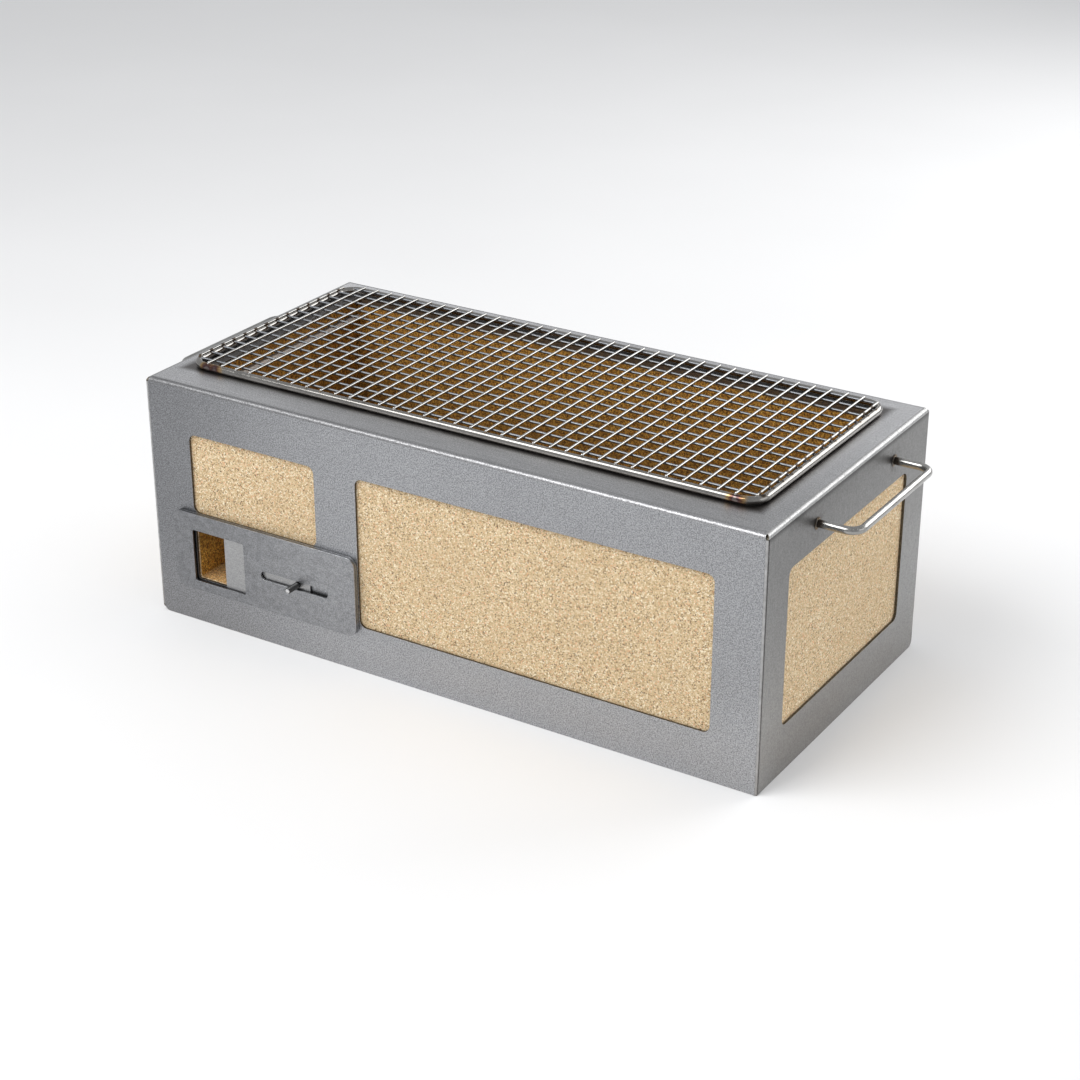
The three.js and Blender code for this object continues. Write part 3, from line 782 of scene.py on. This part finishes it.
# ------------------------------------------------------------------ grate and grid
def charcoal_grate(material):
    low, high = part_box("charcoal_grate")
    radius = GRATE_BAR / 2
    middle = (low.y + high.y) / 2
    bar_z = high.z - radius
    cross_z = bar_z - GRATE_BAR + GRATE_WELD_SINK
    bm = bmesh.new()
    for i in range(GRATE_BARS["count"]):
        y = middle + (i - (GRATE_BARS["count"] - 1) / 2) * GRATE_BARS["pitch"]
        ends = [Vector((low.x, y, bar_z)), Vector((high.x, y, bar_z))]
        sweep(bm, ends, radius, 16, 0.6 * MM)
    foot = (high.y - low.y) / 2 - radius
    for x in (-GRATE_CROSS_X, GRATE_CROSS_X):
        corners = [
            (x, middle - foot, low.z),
            (x, middle - foot, cross_z),
            (x, middle + foot, cross_z),
            (x, middle + foot, low.z),
        ]
        sweep(bm, rounded_path(corners, GRATE_BEND, 10), radius, 16, 0.5 * MM)
    make_piece("fire_grate", bm, "grate", [material], ["charcoal_grate"])


def sagging(start, end, points=9):
    """Points from start to end, with a slight random bow."""
    path = []
    lean = Vector((rng.uniform(-1, 1), rng.uniform(-1, 1), rng.uniform(-1, 0)))
    for i in range(points):
        t = i / (points - 1)
        path.append(start.lerp(end, t) + lean * (WIRE_BOW * 4 * t * (1 - t)))
    return path


def corner_inset(position, low, high):
    """How far the frame's rounded corners draw in a wire that lies between two sides."""
    beyond = max(low - position, position - high, -GRID_CORNER)
    return GRID_CORNER - math.sqrt(GRID_CORNER**2 - (beyond + GRID_CORNER) ** 2)


def cooking_grid(rod_material, wire_material, long_material, weld_material):
    low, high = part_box("cooking_grid")
    rod_r, wire_r = ROD / 2, WIRE / 2
    rod_z = low.z + rod_r
    cross_z = high.z - wire_r
    long_z = cross_z - WIRE + 0.15 * MM
    left, right = low.x + rod_r, high.x - rod_r
    front, rear = low.y + rod_r, high.y - rod_r

    bm = bmesh.new()
    loop = rounded_loop(left, front, right, rear, GRID_CORNER, 14)
    sweep(bm, [Vector((x, y, rod_z)) for x, y in loop], rod_r, 24, closed=True)
    make_piece("grid_frame", bm, "grid", [rod_material], ["cooking_grid"])

    bm = bmesh.new()
    long_bm = bmesh.new()
    welds = bmesh.new()
    for i in range(-1, CROSS_WIRES["count"]):
        x = CROSS_WIRES["edge"] if i < 0 else CROSS_WIRES["first"] + i * CROSS_WIRES["pitch"]
        inset = corner_inset(x, left, right)
        shift = [rng.uniform(-WIRE_STRAY, WIRE_STRAY) for _ in range(2)]
        start = Vector((x + shift[0], low.y + CROSS_SETBACK + inset, cross_z))
        end = Vector((x + shift[1], high.y - CROSS_SETBACK - inset, cross_z))
        path = sagging(start, end)
        path[0].z -= WIRE_DIP
        path[-1].z -= WIRE_DIP
        sweep(bm, path, wire_r, 12, 0.35 * MM)
        for y in (front + inset, rear - inset):
            nugget(welds, Vector((x, y, rod_z + rod_r)), CROSS_NUGGET)
    for i in range(LONG_WIRES["count"]):
        y = LONG_WIRES["first"] + i * LONG_WIRES["pitch"]
        inset = LONG_SETBACK + corner_inset(y, front, rear)
        start = Vector((left + inset, y + rng.uniform(-WIRE_STRAY, WIRE_STRAY), long_z))
        end = Vector((right - inset, y + rng.uniform(-WIRE_STRAY, WIRE_STRAY), long_z))
        sweep(long_bm, sagging(start, end), wire_r, 12)
        for x in (start.x + 0.9 * MM, end.x - 0.9 * MM):
            nugget(welds, Vector((x, y, long_z)), LONG_NUGGET)
    node = ["cooking_grid"]
    make_piece("grid_long_wires", long_bm, "grid", [long_material], node)
    make_piece("grid_wires", bm, "grid", [wire_material], node)
    make_piece("grid_welds", welds, "grid", [weld_material], node, 80)


# ------------------------------------------------------------------ build
handle_low, handle_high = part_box("right_handle")
handle_ends = [handle_low.y + HANDLE_ROD / 2, handle_high.y - HANDLE_ROD / 2]
handle_z = (handle_low.z + handle_high.z) / 2
handle_roots = [(s * HALF_X, y, handle_z) for s in (-1, 1) for y in handle_ends]

grid_low, grid_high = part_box("cooking_grid")
# painted shade on the rim under the cooking grid
under_grid = [(grid_low.x, grid_low.y), (grid_high.x, grid_high.y), 0.85]
rod_z = grid_low.z + ROD / 2
front_burns = [
    (grid_low.x + 21 * MM, grid_low.y, rod_z),
    (grid_low.x + 27 * MM, grid_low.y, rod_z),
    (grid_high.x - 19 * MM, grid_low.y, rod_z),
]
long_rows = [LONG_WIRES["first"] + i * LONG_WIRES["pitch"] for i in range(LONG_WIRES["count"])]
last_cross = CROSS_WIRES["first"] + (CROSS_WIRES["count"] - 1) * CROSS_WIRES["pitch"]
# painted shadow of the long wires' ends on the end rods, with weld darkening
long_end_shade = [
    (x, y, rod_z + ROD / 2)
    for x in (grid_low.x + ROD * 0.65, grid_high.x - ROD * 0.65)
    for y in long_rows
]
# painted shadow where the long wires end by the outermost cross wires, with weld darkening
end_crossing_shade = [
    (x, y, grid_high.z - WIRE / 2) for x in (CROSS_WIRES["edge"], last_cross) for y in long_rows
]
# painted shadow under the cross wires' rear ends on the rear rod, with weld soot
rear_end_shade = (
    CROSS_WIRES["first"],
    CROSS_WIRES["pitch"],
    grid_high.y - ROD * 0.3,
    rod_z + ROD * 0.4,
    3 * MM,
)

# temper colours, from the edge of the heated zone to the weld
BROWNED = [
    (0.0, (0.40, 0.34, 0.25)),
    (0.45, (0.36, 0.24, 0.12)),
    (0.7, (0.15, 0.08, 0.05)),
    (0.9, (0.08, 0.045, 0.05)),
    (1.0, (0.18, 0.15, 0.14)),
]
# dark tones for smoke at the handle welds, also used as painted shadow at the grid's wire ends
SMOKE_AND_SHADE = [(0.0, (0.36, 0.32, 0.27)), (0.5, (0.09, 0.07, 0.055)), (1.0, (0.03, 0.026, 0.022))]
STEEL = (0.345, 0.35, 0.362)

# painted light and shade: darker towards the left end, lighter low down
front_steel = sheet_steel(
    "steel_front",
    STEEL,
    warm_reflection=0.15,
    painted_light=[("X", -HALF_X, -60 * MM, 0.67, 1.05), ("Z", 10 * MM, 90 * MM, 1.2, 1.0)],
    contrast=0.36,
)
# painted light: the top is a lighter copy of the sheet, lighter still at the left end and towards
# the rear, darker just behind the front fold
top_steel = sheet_steel(
    "steel_top",
    (0.42, 0.42, 0.425),
    grain=(35, 1500, 1500),
    brushed=0.35,
    rough=0.38,
    painted_light=[
        ("X", -HALF_X, 0.0, 1.34, 1.0),
        ("X", 0.0, HALF_X, 1.135, 1.08),
        ("Y", -HALF_Y, HALF_Y, 0.96, 1.42),
        ("Y", BEND - HALF_Y, 7 * MM - HALF_Y, 0.74, 1.0),
    ],
    contrast=0.4,
    painted_grid_shade=under_grid,
)
# painted light and shade: darker towards the top and just under the fold, lighter towards the
# front and rear ends
side_steel = sheet_steel(
    "steel_side",
    (0.335, 0.333, 0.328),
    grain=(1200, 1200, 60),
    brushed=0.3,
    rough=0.4,
    warm_reflection=0.3,
    stains=handle_roots,
    painted_light=[
        ("Z", 0.0, TOP, 1.08, 0.58),
        ("Z", TOP - 8 * MM, TOP - BEND, 1.0, 0.4),
        ("Y", -HALF_Y, -70 * MM, 1.1, 1.0),
        ("Y", -HALF_Y, HALF_Y, 1.0, 1.12),
    ],
)
# painted highlight: the front fold is a lighter copy of the wall steel, dimmer towards the left
# end
front_fold = sheet_steel(
    "fold_front_highlight",
    (0.52, 0.52, 0.53),
    grain=(200, 900, 900),
    brushed=0.2,
    rough=0.46,
    painted_light=[("X", -HALF_X, HALF_X, 0.5, 0.78)],
    contrast=0.45,
)
# painted highlight: the side fold is a lighter copy of the wall steel
side_fold = sheet_steel(
    "fold_side_highlight", (0.43, 0.43, 0.425), grain=(900, 200, 900), brushed=0.2, contrast=0.25
)
# painted shade: darker towards the left end
cover_steel = sheet_steel(
    "steel_cover",
    STEEL,
    grain=(200, 200, 300),
    brushed=0.3,
    rough=0.4,
    painted_light=[("X", -240 * MM, -60 * MM, 0.68, 0.93)],
    contrast=0.3,
)
damper_steel = sheet_steel("steel_damper", (0.39, 0.39, 0.39), grain=(300, 300, 600), brushed=0.3)
base_steel = sheet_steel("steel_base", STEEL, grain=(30, 900, 900), brushed=0.5)
# painted shade: the cut edges' dark brown tone stands in for the shade on the sheet's edges in
# the openings
cut_steel = sheet_steel("cut_edge", (0.13, 0.115, 0.09), rough=0.5, contrast=0.4)
ledge_steel = ledge_metal("steel_ledge")
board = insulating_board("mineral_board")

handle_steel = bright_rod(
    "handle_rod", (0.39, 0.385, 0.37), 0.2, burns=[(handle_roots, 9 * MM, SMOKE_AND_SHADE)]
)
# grid rod: weld browning at the front, painted shadow with weld darkening at the wire ends
frame_steel = bright_rod(
    "grid_rod",
    (0.29, 0.28, 0.265),
    0.15,
    burns=[(front_burns, 12 * MM, BROWNED), (long_end_shade, 3.6 * MM, SMOKE_AND_SHADE)],
    row=rear_end_shade,
)
# cross wires: painted shadow with weld darkening by the grid's ends and rear rod
wire_steel = bright_rod(
    "grid_wire",
    (0.43, 0.425, 0.41),
    0.18,
    burns=[(end_crossing_shade, 3.2 * MM, SMOKE_AND_SHADE)],
    dull=0.35,
    scale=160.0,
    row=rear_end_shade,
)
# painted shade: the long wires are a darker, rougher copy of the wire steel
long_steel = bright_rod("grid_long_wire", (0.26, 0.272, 0.288), 0.42, dull=0.3, scale=160.0)
stud_steel = bright_rod("stud_steel", (0.07, 0.07, 0.07), 0.4)
# painted highlight: the stud's end face is a pale copy of its steel
stud_end_highlight = bright_rod("stud_end_highlight", (0.75, 0.75, 0.75), 0.35, dull=0.7, scale=900.0)
grate_steel = bright_rod("grate_bar", (0.16, 0.14, 0.13), 0.5, dull=0.5)
grid_bead = weld_metal("weld_bead", (0.30, 0.29, 0.28))
root_bead = weld_metal("weld_root", (0.09, 0.08, 0.07))
# painted highlight: the seams' steel is lighter than the walls', for the rounded corner's
# highlight
seam = seam_metal("weld_seam", (0.42, 0.42, 0.42))

casing_sheet([top_steel, front_steel, side_steel, front_fold, side_fold], cut_steel)
corner_seams(seam)

guide_low, guide_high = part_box("damper_guide")
guide_hole = rounded_loop(
    guide_low.x + GUIDE_RAIL,
    INLET[1] - GUIDE_LIP,
    guide_high.x - GUIDE_RAIL,
    INLET[3] + GUIDE_LIP,
    2 * MM,
)
inlet_hole = rounded_loop(*INLET, INLET_CORNER, 5)
stud_low, stud_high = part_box("damper_stud")
slot_z = (stud_low.z + stud_high.z) / 2
slot_hole = rounded_loop(
    SLOT_X[0], slot_z - SLOT_HALF, SLOT_X[1], slot_z + SLOT_HALF, SLOT_HALF - 0.01 * MM
)
plate("damper_rails", "damper_guide", COVER_CORNER, [guide_hole], "body", cover_steel, 0.15 * MM)
plate(
    "damper_face",
    "damper_cover",
    COVER_CORNER,
    [inlet_hole, slot_hole],
    "body",
    cover_steel,
    0.5 * MM,
)
plate("damper_slider", "damper_plate", DAMPER_CORNER, [], "damper", damper_steel, 0.2 * MM)
damper_stud([stud_steel, stud_end_highlight])

for end in ("left", "right"):
    handle(f"{end}_grip", f"{end}_handle", handle_steel)
    for place in ("front", "rear"):
        weld_ring(f"{end}_bead_{place}", f"{end}_handle_weld_{place}", root_bead)

charcoal_grate(grate_steel)
cooking_grid(frame_steel, wire_steel, long_steel, grid_bead)

# nodes that keep their CAD mesh, with their material and the width of their bevels
kept = {
    "base_plate": (base_steel, 0.3 * MM),
    "floor_board": (board, 1.0 * MM),
    "front_board": (board, 0.8 * MM),
    "rear_board": (board, 0.8 * MM),
    "left_board": (board, 0.8 * MM),
    "right_board": (board, 0.8 * MM),
    "left_ledge": (ledge_steel, 0.9 * MM),
    "right_ledge": (ledge_steel, 0.9 * MM),
}
for node, (material, edge) in kept.items():
    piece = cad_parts[node]
    piece.data.materials.clear()
    piece.data.materials.append(material)
    round_edges(piece, edge)

# ------------------------------------------------------------------ studio
FLOOR_REACH = 14.0
FLOOR_DROP = 0.1 * MM  # keeps the floor off the grill's underside
SKY, SKY_STRENGTH = (0.97, 0.98, 1.0, 1), 0.58
CAMERA_AIM = Vector((26 * MM, -29 * MM, 95 * MM))
CAMERA_AZIMUTH, CAMERA_ELEVATION, CAMERA_DISTANCE = 32.12, 25.6, 1.7707
CAMERA_SENSOR, CAMERA_LENS = 36, 76.9

floor_mesh = bpy.data.meshes.new("studio_floor")
floor_corners = [
    (x * FLOOR_REACH, y * FLOOR_REACH, 0) for x, y in ((-1, -1), (1, -1), (1, 1), (-1, 1))
]
floor_mesh.from_pydata(floor_corners, [], [(0, 1, 2, 3)])
paper = Graph("studio_paper", Roughness=0.9)
paper_tone = paper.ramp(paper.noise(3.0), [(0.3, (0.88, 0.88, 0.88)), (0.7, (0.90, 0.90, 0.90))])
floor_mesh.materials.append(paper.finish(paper_tone))
floor = bpy.data.objects.new("studio_floor", floor_mesh)
floor.location.z = -FLOOR_DROP
bpy.context.scene.collection.objects.link(floor)

world = bpy.data.worlds.new("studio")
world.use_nodes = True
background = world.node_tree.nodes["Background"]
background.inputs["Color"].default_value = SKY
background.inputs["Strength"].default_value = SKY_STRENGTH
bpy.context.scene.world = world


def aimed(name, data, aim, azimuth, elevation, distance):
    """A light or camera that looks at aim. Azimuth 0 is in front, 90 to the right."""
    a, e = math.radians(azimuth), math.radians(elevation)
    away = Vector((math.sin(a) * math.cos(e), -math.cos(a) * math.cos(e), math.sin(e)))
    made = bpy.data.objects.new(name, data)
    made.location = aim + away * distance
    made.rotation_euler = (-away).to_track_quat("-Z", "Y").to_euler()
    bpy.context.scene.collection.objects.link(made)
    return made


def softbox(name, azimuth, elevation, distance, size, power):
    data = bpy.data.lights.new(name, "AREA")
    data.shape = "RECTANGLE"
    data.size, data.size_y = size
    data.energy = power
    aimed(name, data, Vector((0, 0, TOP / 2)), azimuth, elevation, distance)


softbox("key_above_front", -27, 52, 1.9, (1.3, 1.1), 24)
softbox("edge_right_rear", 155, 26, 2.0, (1.7, 0.8), 15)
softbox("fill_right", 98, 18, 2.2, (1.4, 1.0), 4)

camera_data = bpy.data.cameras.new("camera")
camera_data.sensor_width = CAMERA_SENSOR
camera_data.lens = CAMERA_LENS
bpy.context.scene.camera = aimed(
    "camera", camera_data, CAMERA_AIM, CAMERA_AZIMUTH, CAMERA_ELEVATION, CAMERA_DISTANCE
)
bpy.context.scene.view_settings.view_transform = "Standard"
